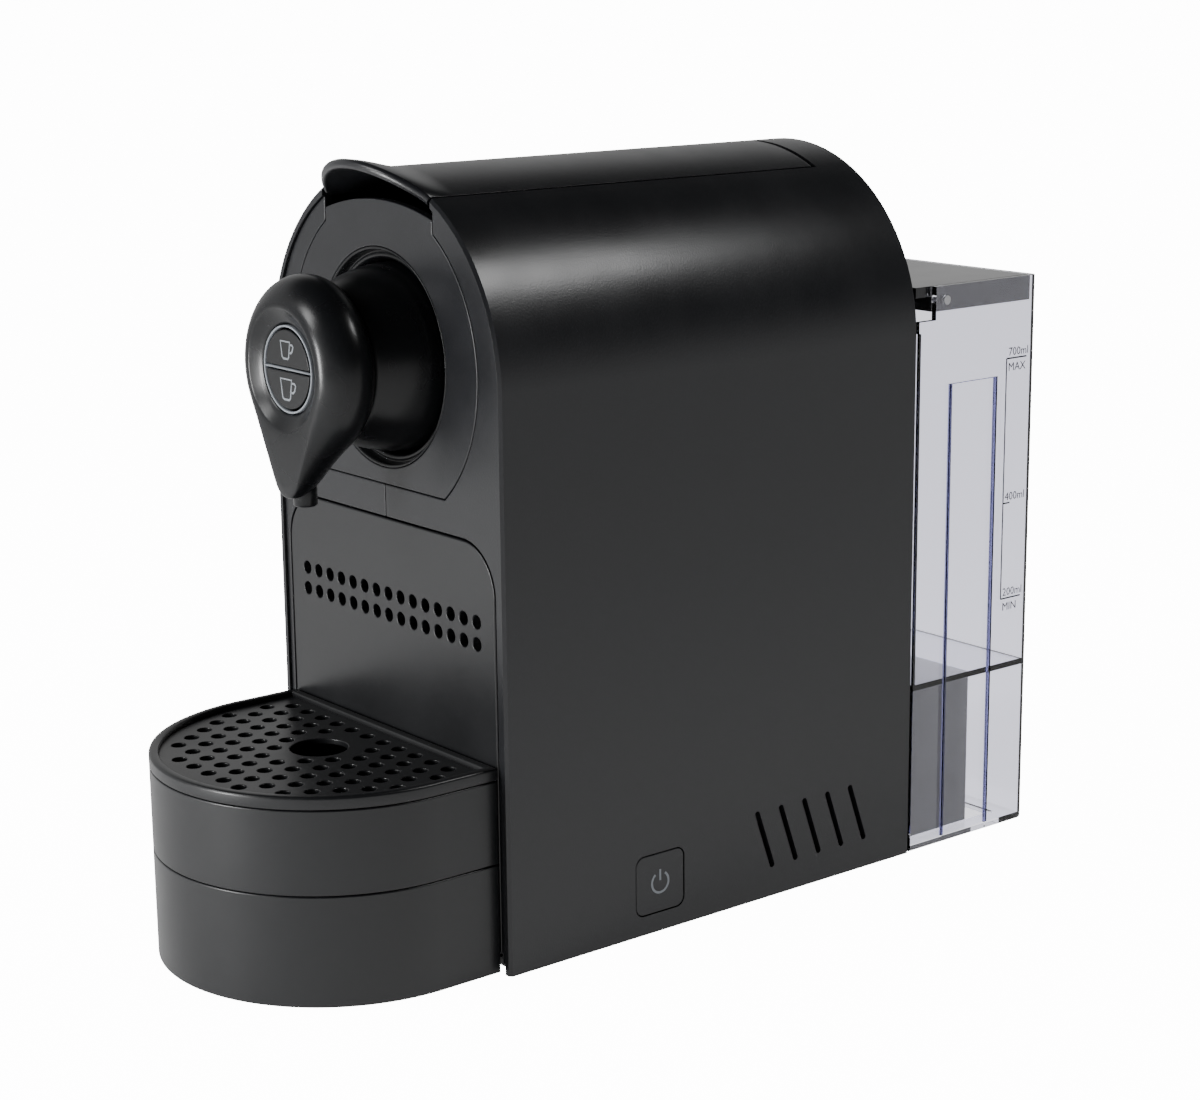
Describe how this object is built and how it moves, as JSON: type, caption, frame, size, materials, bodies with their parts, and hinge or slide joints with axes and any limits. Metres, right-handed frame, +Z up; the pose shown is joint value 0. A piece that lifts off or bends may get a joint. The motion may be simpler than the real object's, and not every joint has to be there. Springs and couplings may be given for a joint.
{
  "type": "pod coffee machine",
  "caption": "Pod coffee machine with an arched housing, lift-up lever, two-button spout head, pull-out drip drawer and clear rear water tank.",
  "frame": {"origin": "on the ground, midway between the drip tray's front edge and the tank's rear face, in the machine's middle plane", "axes": "-Y towards the front (spout and drip tray), +Y towards the tank, +X towards the power button, +Z up"},
  "size_m": [0.12, 0.299, 0.2388],
  "materials": {
    "black_satin": "satin black moulded ABS with a fine spark texture",
    "nose_black": "smoother semi-gloss black moulded ABS",
    "panel_black": "fine textured black moulded ABS",
    "button_black": "smooth black moulded ABS",
    "bezel_grey": "light grey moulded ring",
    "tank_clear": "clear moulded copolyester with a faint violet edge",
    "lid_grey": "satin dark moulded ABS",
    "inner_plastic": "glass-filled nylon, natural moulded surface",
    "foot_rubber": "soft moulded rubber",
    "seal_rubber": "food-grade silicone",
    "tube_silicone": "translucent silicone hose",
    "steel": "plain drawn stainless steel",
    "heater_alloy": "cast aluminium",
    "board_green": "solder-masked glass-epoxy board"
  },
  "bodies": {
    "housing": {"outer_shell": "black_satin", "front_frame_right": "black_satin", "front_frame_left": "black_satin", "face_plate": "black_satin", "nose_ring": "nose_black", "nose_drum": "nose_black", "nose_head": "nose_black", "button_bezel": "bezel_grey", "button_board": "board_green", "espresso_button_spring": "steel", "lungo_button_spring": "steel", "spout_nozzle": "nose_black", "coffee_duct": "tube_silicone", "lever_pivot_pins": "steel", "brew_frame": "inner_plastic", "extraction_plate": "inner_plastic", "inner_chassis": "inner_plastic", "power_switch": "inner_plastic", "switch_bracket": "inner_plastic", "power_button_spring": "steel", "base_plate": "inner_plastic", "rubber_feet": "foot_rubber", "base_screws": "steel", "rear_panel": "black_satin", "cord_gland": "foot_rubber", "pump": "inner_plastic", "pump_mounts": "foot_rubber", "heater_block": "heater_alloy", "heater_shelf": "inner_plastic", "thermostat": "steel", "flow_meter": "inner_plastic", "suction_tube": "tube_silicone", "pressure_tube": "tube_silicone", "brew_tube": "tube_silicone", "control_board": "board_green", "board_standoffs": "inner_plastic", "board_parts": "inner_plastic", "tank_support": "black_satin", "inlet_seal": "seal_rubber"},
    "lever": {"lever_cover": "black_satin", "lever_arms": "inner_plastic", "crank_pins": "steel"},
    "links": {"drive_links": "steel"},
    "piston": {"brew_piston": "inner_plastic", "piston_pin": "steel", "capsule_needles": "steel"},
    "espresso_cap": {"espresso_button": "button_black"},
    "lungo_cap": {"lungo_button": "button_black"},
    "power_cap": {"power_button": "black_satin"},
    "drawer": {"tray_base": "black_satin", "drawer_panel": "panel_black", "capsule_bin": "inner_plastic"},
    "drip_tray": {"drip_tray": "black_satin"},
    "drip_grid": {"drip_grid": "black_satin"},
    "tank": {"water_tank": "tank_clear", "valve_cage": "tank_clear", "valve_spring": "steel"},
    "tank_lid": {"tank_lid": "lid_grey", "lid_pins": "steel"},
    "tank_valve": {"valve_plunger": "inner_plastic"}
  },
  "joints": [
    {"name": "lever_hinge", "type": "hinge", "parent": "housing", "child": "lever", "pos_m": [0, 0.03855, 0.219], "axis": [-1, 0, 0], "range_deg": [0, 60]},
    {"name": "link_swing", "type": "hinge", "parent": "lever", "child": "links", "pos_m": [0, 0.02655, 0.221], "axis": [1, 0, 0], "range_deg": [0, 75.4]},
    {"name": "piston_slide", "type": "slide", "parent": "housing", "child": "piston", "axis": [0, 1, 0], "range_m": [0, 0.01993]},
    {"name": "espresso_press", "type": "slide", "parent": "housing", "child": "espresso_cap", "axis": [0, 1, 0], "range_m": [0, 0.0012], "stiffness_N_per_m": 600, "deforming": ["espresso_button_spring"]},
    {"name": "lungo_press", "type": "slide", "parent": "housing", "child": "lungo_cap", "axis": [0, 1, 0], "range_m": [0, 0.0012], "stiffness_N_per_m": 600, "deforming": ["lungo_button_spring"]},
    {"name": "power_press", "type": "slide", "parent": "housing", "child": "power_cap", "axis": [-1, 0, 0], "range_m": [0, 0.001], "stiffness_N_per_m": 800, "deforming": ["power_button_spring"]},
    {"name": "drawer_slide", "type": "slide", "parent": "housing", "child": "drawer", "axis": [0, -1, 0], "range_m": [0, 0.11]},
    {"name": "drip_tray_lift", "type": "slide", "parent": "drawer", "child": "drip_tray", "axis": [0, 0, 1], "range_m": [0, 0.035]},
    {"name": "drip_grid_lift", "type": "slide", "parent": "drip_tray", "child": "drip_grid", "axis": [0, 0, 1], "range_m": [0, 0.03]},
    {"name": "tank_lift", "type": "slide", "parent": "housing", "child": "tank", "axis": [0, 0, 1], "range_m": [0, 0.075]},
    {"name": "lid_hinge", "type": "hinge", "parent": "tank", "child": "tank_lid", "pos_m": [0, 0.10635, 0.1861], "axis": [1, 0, 0], "range_deg": [0, 90]},
    {"name": "valve_lift", "type": "slide", "parent": "tank", "child": "tank_valve", "axis": [0, 0, 1], "range_m": [0, 0.002], "stiffness_N_per_m": 150, "deforming": ["valve_spring"]}
  ],
  "couplings": [
    {"joint": "link_swing", "follows": "lever_hinge", "ratio": 1.2481},
    {"joint": "piston_slide", "follows": "lever_hinge", "m_per_rad": 0.018933}
  ]
}
